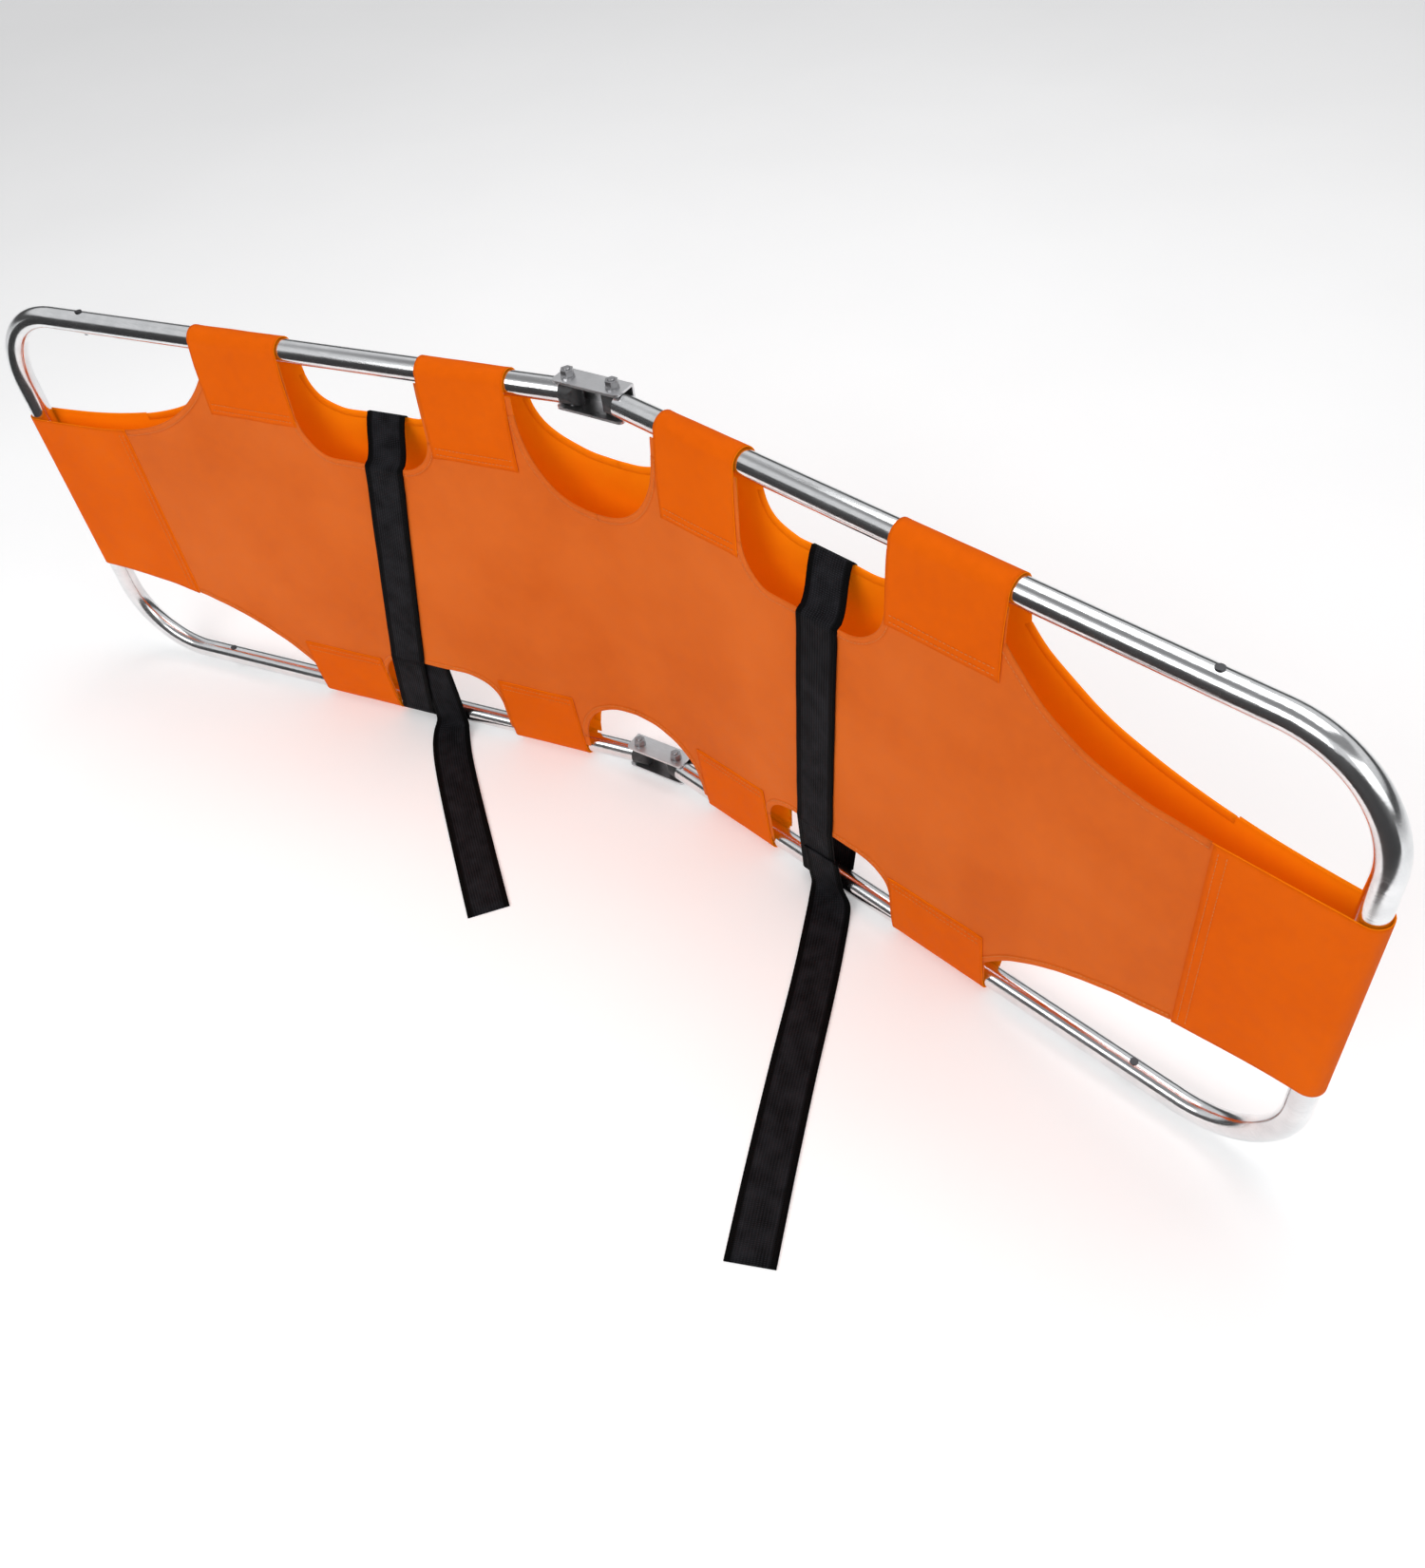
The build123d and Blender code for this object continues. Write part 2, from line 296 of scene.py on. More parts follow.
def halfColumn(s, sign, up):
    top = cutEdge(s, sign, up)
    a, b = bed["handhold"]
    hold = bed["handholdLow"] + bed["lift"][(sign, up)] + bed["handholdRound"]
    turn = top - 0.0008
    if bed["centreHalf"] <= s < a:         # under a wrap the rows stay level with the cuts
        t = (s - bed["centreHalf"]) / (a - bed["centreHalf"])
        turn = bed["centreHigh"] * (1 - t) + hold * t
    elif b < s < bed["shoulder"]:
        t = (s - b) / (bed["shoulder"] - b)
        turn = hold * (1 - t) + (bed["endHalf"] + bed["shoulderHigh"]) * t
    inner = min(0.140, turn - 0.018)
    rows = [inner * k / 24 for k in range(1, 25)]
    rows += [inner + (turn - inner) * k / 24 for k in range(1, 25)]
    return rows + [turn + (top - turn) * k / 6 for k in range(1, 7)]


def makeLayer(word, layer):
    sign = 1 if layer == "front" else -1
    grid, flat = [], []
    for s in columnsOfBed():
        lower = [-w for w in reversed(halfColumn(s, sign, -1))]
        line = lower + [0.0] + halfColumn(s, sign, 1)
        grid.append([bedPoint(word, s, w, sign * layerOut(s, w, sign)) for w in line])
        flat.append([(s, w) for w in line])
    obj = gridObject(f"{word}_bed_{layer}_cloth", grid, flat)
    faceOutward(obj, word, sign)
    return obj


endFlap = {"left": 0.733, "right": 0.781, "width": 0.25}      # where each is sewn, along its half
roundRail = 0.05              # cloth that a wrap or flap takes to go round a rail

hemBand = {"width": 0.0085, "proud": 0.00075}


def hemPath(word, piece, sign, up):
    a, b = bed["handhold"]
    if piece == "centre":
        ss = spread(0, 0.06, 0.006) + spread(0.064, 0.088, 0.004)
        ss += spread(0.0905, bed["centreHalf"] - 0.0004, 0.0016)
    elif piece == "handhold":
        ss = spread(a + 0.0002, a + 0.014, 0.0014) + spread(a + 0.018, b - 0.018, 0.006)
        ss += spread(b - 0.014, b - 0.0002, 0.0014)
    else:
        ss = spread(bed["shoulder"] + 0.0005, 0.60, 0.005)
        ss += spread(0.607, endFlap[word] - 0.002, 0.008)
    return [(s, cutEdge(s, sign, up)) for s in ss]


def inward(path):
    result = []
    for i in range(len(path)):
        a, b = path[max(i - 1, 0)], path[min(i + 1, len(path) - 1)]
        ds, dw = b[0] - a[0], b[1] - a[1]
        size = math.hypot(ds, dw)
        result.append((dw / size, -ds / size))
    return result


def makeHem(word, layer):
    sign = 1 if layer == "front" else -1
    band, proud = hemBand["width"], hemBand["proud"]
    half = bed["cloth"] / 2
    profile = [                   # in from the cut edge and out from the cloth
        (band, half - 0.0002), (band - 0.0004, half + proud),
        (0.0016, half + proud + 0.0001), (0.0, half + proud * 0.7),
        (-0.0007, half * 0.6), (-0.0007, -half * 0.6),
        (0.0, -half - proud * 0.7), (0.0016, -half - proud),
        (band, -half - proud), (band, -half + 0.0002),
    ]
    verts, faces, uvs = [], [], []
    for piece in ("centre", "handhold", "outer"):
        for up in (1, -1):
            path = hemPath(word, piece, sign, up)
            normals = inward(path)
            first = len(verts)
            run = 0.0
            for i, ((s, w), (ns, nw)) in enumerate(zip(path, normals)):
                if i:
                    run += math.hypot(s - path[i - 1][0], w - path[i - 1][1])
                if piece == "centre" and i == 0:
                    ns, nw = 0.0, -1.0
                for depth, height in profile:
                    ps, pw = s + ns * depth, w + nw * depth
                    if piece == "centre":
                        ps = max(ps, 0.0)
                    n = sign * (layerOut(ps, up * pw, sign) + height)
                    verts.append(bedPoint(word, ps, up * pw, n))
                    uvs.append((run, depth + height))
            size = len(profile)
            for i in range(len(path) - 1):
                for j in range(size):
                    a = first + i * size + j
                    b = first + i * size + (j + 1) % size
                    faces.append((a, b, b + size, a + size))
            faces.append(tuple(first + j for j in range(size)))
            last = first + (len(path) - 1) * size
            faces.append(tuple(last + j for j in reversed(range(size))))
    obj = meshObject(f"{word}_bed_{layer}_hems", verts, faces, uvs)
    fixNormals(obj)
    return obj


def fixNormals(obj):
    work = bmesh.new()
    work.from_mesh(obj.data)
    bmesh.ops.recalc_face_normals(work, faces=work.faces)
    work.to_mesh(obj.data)
    work.free()


stitch = {
    "pitch": 0.0048, "length": 0.0034, "width": 0.0008, "proud": 0.0004,
    "sink": 0.0002,           # of its edges into the cloth
    "rows": (0.006, 0.014),   # of sewing, in from a hem
}


def addStitches(store, path, normals):
    lengths = [0.0]
    for a, b in zip(path, path[1:]):
        lengths.append(lengths[-1] + (b - a).length)
    total = lengths[-1]
    count = int(total / stitch["pitch"])
    if count < 1:
        return
    step = total / count

    def at(x):
        x = min(max(x, 0), total)
        k = next((i for i in range(len(lengths) - 1) if lengths[i + 1] >= x), len(lengths) - 2)
        t = (x - lengths[k]) / max(lengths[k + 1] - lengths[k], 1e-9)
        return path[k].lerp(path[k + 1], t), normals[k].lerp(normals[k + 1], t)

    for i in range(count):
        mid = (i + 0.5) * step
        p0 = at(mid - stitch["length"] / 2)[0]
        p1 = at(mid + stitch["length"] / 2)[0]
        pm, nm = at(mid)
        nm.normalize()
        along = (p1 - p0).normalized()
        sidewise = along.cross(nm).normalized()
        first = len(store["verts"])
        half, high = stitch["width"] / 2, stitch["proud"]
        rings = [(-0.5, 0.35, 0.0), (-0.28, 1.0, 1.0), (0.28, 1.0, 1.0), (0.5, 0.35, 0.0)]
        for t, wide, tall in rings:
            c = pm + along * (t * stitch["length"])
            store["verts"] += [
                c - sidewise * half * wide - nm * stitch["sink"],
                c - sidewise * half * wide * 0.6 + nm * high * tall,
                c + sidewise * half * wide * 0.6 + nm * high * tall,
                c + sidewise * half * wide - nm * stitch["sink"],
            ]
        for r in range(3):
            for k in range(4):
                a = first + r * 4 + k
                b = first + r * 4 + (k + 1) % 4
                store["faces"].append((a, b, b + 4, a + 4))
        store["faces"].append(tuple(first + k for k in (3, 2, 1, 0)))
        store["faces"].append(tuple(first + 12 + k for k in (0, 1, 2, 3)))


def surfaceLine(word, pairs, sign, proud):
    points = [bedPoint(word, s, w, sign * (layerOut(s, w, sign) + proud)) for s, w in pairs]
    normals = []
    for s, w in pairs:
        a = bedPoint(word, s, w, sign * layerOut(s, w, sign))
        b = bedPoint(word, s, w, sign * (layerOut(s, w, sign) + 0.01))
        normals.append((b - a).normalized())
    return points, normals


wrapShape = {"curl": 0.0009, "droop": 0.0012, "ease": 0.0007, "step": 0.0048}


def makeWrap(word, level, place):
    span, hem = wraps[place]["span"], wraps[place]["hem"]
    up = 1 if level == "upper" else -1
    lay = bed["cloth"] + bed["layGap"]
    radius = bed["layerDepth"] + lay
    seed = 11 + span[0] * 20 + up + (3 if word == "left" else 0)
    grid, flat = [], []
    steps = spread(hem, railAt, wrapShape["step"])
    turns = [math.pi * k / 14 for k in range(1, 14)]
    for s in spread(span[0], span[1], wrapShape["step"]):
        edge = min(s - span[0], span[1] - s)
        curl = wrapShape["curl"] * math.exp(-edge / 0.006)
        row, across = [], []
        for sign in (1, -1):
            line = steps if sign > 0 else list(reversed(steps))
            for w in line:
                low = 1 - (w - hem) / (railAt - hem)
                droop = wrapShape["droop"] * noise.noise(Vector((s * 18, seed, 2))) * low
                lift = curl * smooth(railAt + 0.001, railAt - 0.03, w) if edge < 0.02 else 0
                ease = wrapShape["ease"] * noise.noise(Vector((s * 26, w * 24, seed)))
                ease *= smooth(hem, hem + 0.03, w)
                ease *= 1 - smooth(railAt - 0.03, railAt, w)
                n = layerOut(s, up * w, sign) + lay + lift + ease
                row.append(bedPoint(word, s, up * (w + droop), sign * n))
                across.append((s, w if sign > 0 else 2 * railAt + roundRail - w))
            if sign > 0:
                for turn in turns:
                    puff = radius + 0.0004 * noise.noise(Vector((s * 30, turn * 1.5, seed)))
                    puff += curl * 0.3
                    high = up * (railAt + puff * math.sin(turn))
                    row.append(bedPoint(word, s, high, puff * math.cos(turn)))
                    across.append((s, railAt + radius * turn))
        grid.append(row)
        flat.append(across)
    obj = gridObject(f"{word}_{level}_{place}_wrap", grid, flat)
    fixOutward(obj, word, up)
    return obj


def fixOutward(obj, word, up):
    centre = onHalf(word, 0.3, 0, up * railAt)
    axis = halves[word]["out"]
    total = 0.0
    for p in obj.data.polygons:
        away = p.center - centre
        away -= axis * away.dot(axis)
        total += p.area * p.normal.dot(away)
    if total < 0:
        obj.data.flip_normals()


def makeEndFlap(word):
    seam = endFlap[word]
    bar = bed["endBar"]
    lay = bed["cloth"] + bed["layGap"]
    radius = bed["layerDepth"] + lay
    path = [(s, 1, None) for s in spread(seam, bar, 0.005)]
    path += [(bar, 0, math.pi * k / 14) for k in range(1, 14)]
    path += [(s, -1, None) for s in reversed(spread(seam, bar, 0.005))]
    grid, flat = [], []
    for s, sign, turn in path:
        half = cutEdge(min(s, bar - 0.004)) + 0.0012
        row, across = [], []
        for v in spread(-1, 1, 1 / 24):
            w = half * v
            wave = 0.0006 * noise.noise(Vector((s * 14, w * 16, 31)))
            if turn is None:
                n = layerOut(s, w, sign) + lay + wave * smooth(bar, bar - 0.04, s)
                row.append(bedPoint(word, s, w, sign * n))
            else:
                row.append(bedPoint(word, bar + radius * math.sin(turn), w, radius * math.cos(turn)))
            across.append((s if turn is None else bar + radius * turn, w))
        grid.append(row)
        flat.append(across)
    obj = gridObject(f"{word}_end_flap", grid, flat)
    centre = onHalf(word, bar)
    total = 0.0
    for p in obj.data.polygons:
        away = Vector((p.center.x - centre.x, p.center.y - centre.y, 0))
        total += p.area * p.normal.dot(away)
    if total < 0:
        obj.data.flip_normals()
    return obj


def makeStitching(word):
    near = {"front": {"verts": [], "faces": []}, "back": {"verts": [], "faces": []}}
    sewn = {"verts": [], "faces": []}
    inset = hemBand["width"] - 0.002
    for layer, sign in (("front", 1), ("back", -1)):
        for piece in ("centre", "handhold", "outer"):
            for up in (1, -1):
                path = hemPath(word, piece, sign, up)
                pairs = []
                for (s, w), (ns, nw) in zip(path, inward(path)):
                    pairs.append((max(s + ns * inset, 0.0), up * (w + nw * inset)))
                line = surfaceLine(word, pairs, sign, bed["cloth"] / 2 + hemBand["proud"] + 0.0001)
                addStitches(near[layer] if piece == "centre" else sewn, *line)
        for facts in wraps.values():
            for up in (1, -1):
                for rise in stitch["rows"]:
                    ss = spread(facts["span"][0] + 0.005, facts["span"][1] - 0.005, 0.005)
                    pairs = [(s, up * (facts["hem"] + rise)) for s in ss]
                    line = surfaceLine(word, pairs, sign, bed["cloth"] * 1.5 + 0.0006)
                    addStitches(sewn, *line)
        for rise in stitch["rows"]:
            s = endFlap[word] + rise
            half = cutEdge(s) - 0.006
            pairs = [(s, w) for w in spread(-half, half, 0.006)]
            line = surfaceLine(word, pairs, sign, bed["cloth"] * 1.5 + 0.0005)
            addStitches(sewn, *line)
    made = [meshObject(f"{word}_stitching", sewn["verts"], sewn["faces"])]
    for layer in ("front", "back"):
        facts = near[layer]
        made.append(meshObject(f"{word}_centre_{layer}_stitching", facts["verts"], facts["faces"]))
    for obj in made:
        fixNormals(obj)
    return made


strapSize = {
    "width": 0.055, "thick": 0.0019, "length": 0.98,
    "clothGap": 0.0009, "railGap": 0.0006,
    "left": (0.298, 0.392), "right": (0.340, 0.306),     # at its top, at the lower rail
    "skew": {"left": 0.022, "right": -0.022},            # along the half, between the layers
}


def between(a, b):
    steps = [k / 12 for k in range(1, 12)]
    return [(a[0] + (b[0] - a[0]) * t, a[1] + (b[1] - a[1]) * t) for t in steps]


def strapLoop(word):
    width, thick = strapSize["width"], strapSize["thick"]
    top, foot = strapSize[word]
    clear = bed["cloth"] / 2 + thick / 2 + strapSize["clothGap"]
    turn = bed["railRadius"] + thick / 2 + strapSize["railGap"]
    tops = {sign: bed["handholdLow"] + bed["lift"][(sign, 1)] for sign in (1, -1)}

    def centre(w):
        return foot + (top - foot) * (w + railAt) / (bed["handholdLow"] + railAt)

    def outAt(w, sign):
        over = (-0.026, -0.013, 0, 0.013, 0.026)
        return max(layerOut(centre(w) + d, w, sign) for d in over) + clear

    skew = strapSize["skew"][word]

    def placed(w, n):
        if w < -bed["handholdLow"]:
            return centre(w)
        rise = smooth(-bed["handholdLow"], tops[1], w)
        return centre(w) + skew * smooth(0.024, -0.024, n) * rise

    path = [(w, outAt(w, 1)) for w in spread(-bed["handholdLow"] + 0.004, tops[1] - 0.006, 0.006)]
    lip, backLip = path[-1][1], outAt(tops[-1] - 0.006, -1)
    path += [(tops[1] - 0.001, lip - 0.0002), (tops[1] + 0.0019, lip - 0.0028)]
    over = (tops[1] + 0.0034, lip - 0.0075), (tops[-1] + 0.0042, -backLip + 0.0075)
    for k in range(9):
        w, n = (over[0][i] + (over[1][i] - over[0][i]) * k / 8 for i in (0, 1))
        path.append((w - 0.0022 * math.sin(math.pi * k / 8), n))
    path += [(tops[-1] + 0.0022, -backLip + 0.0028), (tops[-1] - 0.001, -backLip + 0.0002)]
    backRun = reversed(spread(-bed["handholdLow"] + 0.004, tops[-1] - 0.006, 0.006))
    path += [(w, -outAt(w, -1)) for w in backRun]
    edgeOut = path[0][1]
    lean = math.atan2(edgeOut - turn, railAt - bed["handholdLow"])
    for k in range(17):
        angle = -lean + (math.pi + 2 * lean) * k / 16
        path.append((-railAt - turn * math.sin(angle), -turn * math.cos(angle)))
    turnAt = len(path) - 17                   # first of the points round the lower rail
    path = (path[:turnAt] + between(path[turnAt - 1], path[turnAt]) + path[turnAt:]
            + between(path[-1], path[0]))

    grid, flat = [], []
    run = 0.0
    for i, (w, n) in enumerate(path):
        if i:
            run += math.hypot(w - path[i - 1][0], n - path[i - 1][1])
        row, across = [], []
        for v in spread(-0.5, 0.5, 1 / 14):
            row.append(bedPoint(word, placed(w, n) + v * width, w, n))
            across.append((run, v * width))
        grid.append(row)
        flat.append(across)
    obj = gridObject(f"{word}_strap_webbing", grid, flat, closed=True)
    thicken(obj, thick)
    return obj


def smoothRoute(points, turns=12):
    curve = bpy.data.curves.new("route", "CURVE")
    curve.dimensions = "3D"
    spline = curve.splines.new("NURBS")
    spline.points.add(len(points) - 1)
    for spot, p in zip(spline.points, points):
        spot.co = (*p, 1)
    spline.order_u = 3
    spline.use_endpoint_u = True
    spline.resolution_u = turns
    holder = bpy.data.objects.new("route", curve)
    scene.collection.objects.link(holder)
    bpy.context.view_layer.update()
    line = [v.co.copy() for v in bpy.data.meshes.new_from_object(holder).vertices]
    bpy.data.objects.remove(holder)
    return line


# fall: out from the rails' plane and up from the floor
# route: on the floor, along the half and out from it
tails = {
    "ripple": 0.0016,
    "keep": 0.045,            # of the reach that is left when the stretcher is folded
    "left": {
        "fall": [(0.0215, 0.128), (0.0190, 0.090), (0.0172, 0.050), (0.0168, 0.022), (0.0185, 0.007)],
        "root": (0.334, 0.334),
        "route": [(0.334, 0.004), (0.330, 0.040), (0.230, 0.161), (0.104, 0.305)],
    },
    "right": {
        "fall": [(0.0232, 0.074), (0.0212, 0.048), (0.0202, 0.022), (0.0215, 0.007)],
        "root": (0.318, 0.320),
        "route": [(0.322, 0.010), (0.342, 0.040), (0.401, 0.130), (0.491, 0.281), (0.587, 0.431)],
    },
}


def strapTail(word):
    width, thick = strapSize["width"], strapSize["thick"]
    lie = thick / 2 + 0.0002
    floorReach = 0.7
    facts = tails[word]
    fall = [Vector((n, z, 0)) for n, z in facts["fall"]]
    fall = smoothRoute(fall + [Vector((n, lie, 0)) for n in (0.040, 0.060, floorReach)])
    runs = [0.0]
    for a, b in zip(fall, fall[1:]):
        runs.append(runs[-1] + (b - a).length)

    def down(q):
        k = next((i for i in range(len(runs) - 1) if runs[i + 1] >= q), len(runs) - 2)
        t = (q - runs[k]) / max(runs[k + 1] - runs[k], 1e-9)
        p = fall[k].lerp(fall[k + 1], t)
        return p.x, p.y

    flatFrom = runs[-1] - floorReach
    route = [Vector((facts["root"][0], 0.0, 0)), Vector((facts["root"][1], 0.035, 0))]
    route += [Vector((s, flatFrom + n, 0)) for s, n in facts["route"]]
    line = smoothRoute(route, 20)
    total = sum((b - a).length for a, b in zip(line, line[1:]))
    grid, flat = [], []
    run = 0.0
    for i, p in enumerate(line):
        if i:
            run += (p - line[i - 1]).length
        along = (line[min(i + 1, len(line) - 1)] - line[max(i - 1, 0)]).normalized()
        cross = Vector((along.y, -along.x, 0))
        wave = tails["ripple"] * math.sin(run * 17) ** 2 * smooth(0.17, 0.26, run)
        wave *= smooth(total, total - 0.04, run)
        row, across = [], []
        for v in spread(-0.5, 0.5, 1 / 14):
            spot = p + cross * (v * width)
            n, z = down(max(spot.y, 0.0))
            point = onHalf(word, spot.x, n)
            point.z = z + wave * (0.6 + 0.4 * math.cos(v * 5))
            row.append(point)
            across.append((run, v * width))
        grid.append(row)
        flat.append(across)
    obj = gridObject(f"{word}_strap_tail_webbing", grid, flat)
    thicken(obj, thick)
    print(f"{word} tail is {total:.3f} m long")
    return obj, total


def socket(group, name, kind, inOut, value=None):
    s = group.interface.new_socket(name=name, in_out=inOut, socket_type=kind)
    if value is not None:
        s.default_value = value


def node(tree, kind, x=0, y=0, **facts):
    n = tree.nodes.new(kind)
    n.location = (x, y)
    for key, value in facts.items():
        setattr(n, key, value)
    return n


def mathNode(tree, op, a, b=None, x=0, y=0):
    n = node(tree, "ShaderNodeMath", x, y, operation=op)
    for i, value in enumerate((a, b)):
        if value is None:
            continue
        if isinstance(value, (int, float)):
            n.inputs[i].default_value = value
        else:
            tree.links.new(value, n.inputs[i])
    return n.outputs[0]


def weaveGroup():
    g = bpy.data.node_groups.new("plainWeave", "ShaderNodeTree")
    socket(g, "Threads per metre", "NodeSocketFloat", "INPUT", 1400)
    socket(g, "Height", "NodeSocketFloat", "OUTPUT")
    socket(g, "Thread", "NodeSocketFloat", "OUTPUT")
    inn, out = node(g, "NodeGroupInput", -900), node(g, "NodeGroupOutput", 700)
    uv = node(g, "ShaderNodeUVMap", -900, 300, uv_map="flat")
    split = node(g, "ShaderNodeSeparateXYZ", -700, 300)
    g.links.new(uv.outputs[0], split.inputs[0])
    per = mathNode(g, "MULTIPLY", inn.outputs[0], math.pi, -700, 100)
    a = mathNode(g, "MULTIPLY", split.outputs[0], per, -500, 300)
    b = mathNode(g, "MULTIPLY", split.outputs[1], per, -500, 100)
    warp, weft = (mathNode(g, "SINE", v, None, -350, y) for v, y in ((a, 300), (b, 100)))
    sa = mathNode(g, "ABSOLUTE", warp, None, -200, 300)
    sb = mathNode(g, "ABSOLUTE", weft, None, -200, 100)
    over = mathNode(g, "MULTIPLY", warp, weft, -200, -100)
    over = mathNode(g, "GREATER_THAN", over, 0.0, -50, -100)
    mix = node(g, "ShaderNodeMix", 100, 200, data_type="FLOAT")
    g.links.new(over, mix.inputs[0])
    g.links.new(sa, mix.inputs[2])
    g.links.new(sb, mix.inputs[3])
    g.links.new(mix.outputs[0], out.inputs[0])
    g.links.new(over, out.inputs[1])
    return g


def blotchGroup():
    g = bpy.data.node_groups.new("softBlotches", "ShaderNodeTree")
    socket(g, "Size", "NodeSocketFloat", "INPUT", 0.1)
    socket(g, "Detail", "NodeSocketFloat", "INPUT", 4.0)
    socket(g, "Amount", "NodeSocketFloat", "OUTPUT")
    inn, out = node(g, "NodeGroupInput", -700), node(g, "NodeGroupOutput", 500)
    coord = node(g, "ShaderNodeTexCoord", -700, 300)
    tex = node(g, "ShaderNodeTexNoise", -200, 200)
    g.links.new(coord.outputs["Object"], tex.inputs["Vector"])
    g.links.new(mathNode(g, "DIVIDE", 1.0, inn.outputs[0], -450, 100), tex.inputs["Scale"])
    g.links.new(inn.outputs[1], tex.inputs["Detail"])
    ramp = node(g, "ShaderNodeMapRange", 100, 200)
    ramp.inputs[1].default_value = 0.32
    ramp.inputs[2].default_value = 0.68
    g.links.new(tex.outputs[0], ramp.inputs[0])
    g.links.new(ramp.outputs[0], out.inputs[0])
    return g


def grainGroup():
    g = bpy.data.node_groups.new("drawnGrain", "ShaderNodeTree")
    socket(g, "Fineness", "NodeSocketFloat", "INPUT", 900)
    socket(g, "Stretch", "NodeSocketFloat", "INPUT", 30)
    socket(g, "Grain", "NodeSocketFloat", "OUTPUT")
    inn, out = node(g, "NodeGroupInput", -800), node(g, "NodeGroupOutput", 500)
    coord = node(g, "ShaderNodeTexCoord", -800, 300)
    split = node(g, "ShaderNodeSeparateXYZ", -600, 300)
    g.links.new(coord.outputs["Object"], split.inputs[0])
    join = node(g, "ShaderNodeCombineXYZ", -300, 300)
    g.links.new(mathNode(g, "DIVIDE", split.outputs[0], inn.outputs[1], -450, 300), join.inputs[0])
    g.links.new(split.outputs[1], join.inputs[1])
    g.links.new(split.outputs[2], join.inputs[2])
    tex = node(g, "ShaderNodeTexNoise", -50, 200)
    tex.inputs["Detail"].default_value = 3
    g.links.new(join.outputs[0], tex.inputs["Vector"])
    g.links.new(inn.outputs[0], tex.inputs["Scale"])
    g.links.new(tex.outputs[0], out.inputs[0])
    return g


groups = {"weave": weaveGroup(), "blotch": blotchGroup(), "grain": grainGroup()}


def useGroup(tree, which, x, y, **values):
    n = node(tree, "ShaderNodeGroup", x, y, node_tree=groups[which])
    for key, value in values.items():
        n.inputs[key.replace("_", " ")].default_value = value
    return n


def newMaterial(name):
    m = bpy.data.materials.new(name)
    m.use_nodes = True
    tree = m.node_tree
    shader = tree.nodes["Principled BSDF"]
    shader.location = (600, 200)
    return m, tree, shader


def colourMix(tree, factor, a, b, x=200, y=300):
    n = node(tree, "ShaderNodeMix", x, y, data_type="RGBA")
    if isinstance(factor, (int, float)):
        n.inputs[0].default_value = factor
    else:
        tree.links.new(factor, n.inputs[0])
    for spot, value in ((6, a), (7, b)):
        if isinstance(value, tuple):
            n.inputs[spot].default_value = (*value, 1)
        else:
            tree.links.new(value, n.inputs[spot])
    return n.outputs[2]


def rangeNode(tree, value, low, high, x=200, y=0, fromLow=0.0, fromHigh=1.0):
    n = node(tree, "ShaderNodeMapRange", x, y)
    for i, v in enumerate((fromLow, fromHigh, low, high), 1):
        n.inputs[i].default_value = v
    tree.links.new(value, n.inputs[0])
    return n.outputs[0]


def bumpNode(tree, height, shader, distance, strength=1.0):
    b = node(tree, "ShaderNodeBump", 400, -200)
    b.inputs["Distance"].default_value = distance
    b.inputs["Strength"].default_value = strength
    tree.links.new(height, b.inputs["Height"])
    tree.links.new(b.outputs[0], shader.inputs["Normal"])


def clothMaterial(name, base, deep, threads=1300, rough=0.68, sheen=0.03, gloss=0.10):
    m, tree, shader = newMaterial(name)
    weave = useGroup(tree, "weave", -700, 200, Threads_per_metre=threads)
    large = useGroup(tree, "blotch", -700, 0, Size=0.16, Detail=3.0)
    small = useGroup(tree, "blotch", -700, -200, Size=0.012, Detail=5.0)
    tone = colourMix(tree, large.outputs[0], base, deep, -300, 300)
    light = tuple(min(c * 1.10 + 0.004, 1) for c in base)
    fleck = rangeNode(tree, small.outputs[0], 0.0, 0.22, -300, 100)
    tone = colourMix(tree, fleck, tone, light, -100, 300)
    # painted shade: the hollows between the weave's threads are darkened
    dark = tuple(c * 0.62 for c in deep)
    weaveHollowShade = rangeNode(tree, weave.outputs[0], 0.30, 0.0, -300, -100, 0.0, 0.45)
    tone = colourMix(tree, weaveHollowShade, tone, dark, 100, 300)
    tree.links.new(tone, shader.inputs["Base Color"])
    dull = rangeNode(tree, small.outputs[0], rough - 0.06, rough + 0.08, 100, 0)
    tree.links.new(dull, shader.inputs["Roughness"])
    shader.inputs["Sheen Weight"].default_value = sheen
    shader.inputs["Sheen Roughness"].default_value = 0.4
    shader.inputs["Sheen Tint"].default_value = (1.0, 0.62, 0.38, 1)
    shader.inputs["Specular IOR Level"].default_value = gloss
    slack = mathNode(tree, "MULTIPLY", small.outputs[0], 0.5, 0, -300)
    height = mathNode(tree, "ADD", weave.outputs[0], slack, 200, -250)
    bumpNode(tree, height, shader, 0.00025, 0.7)
    return m


webbing = {
    "rib": 0.0021, "lane": 0.0034,
    # gap: painted shade for the hollows between ribs and lanes
    "gap": (0.0022, 0.0022, 0.0026), "thread": (0.021, 0.021, 0.025),
    "worn": (0.034, 0.034, 0.040), "selvedge": (0.0018, 0.0018, 0.002),
}


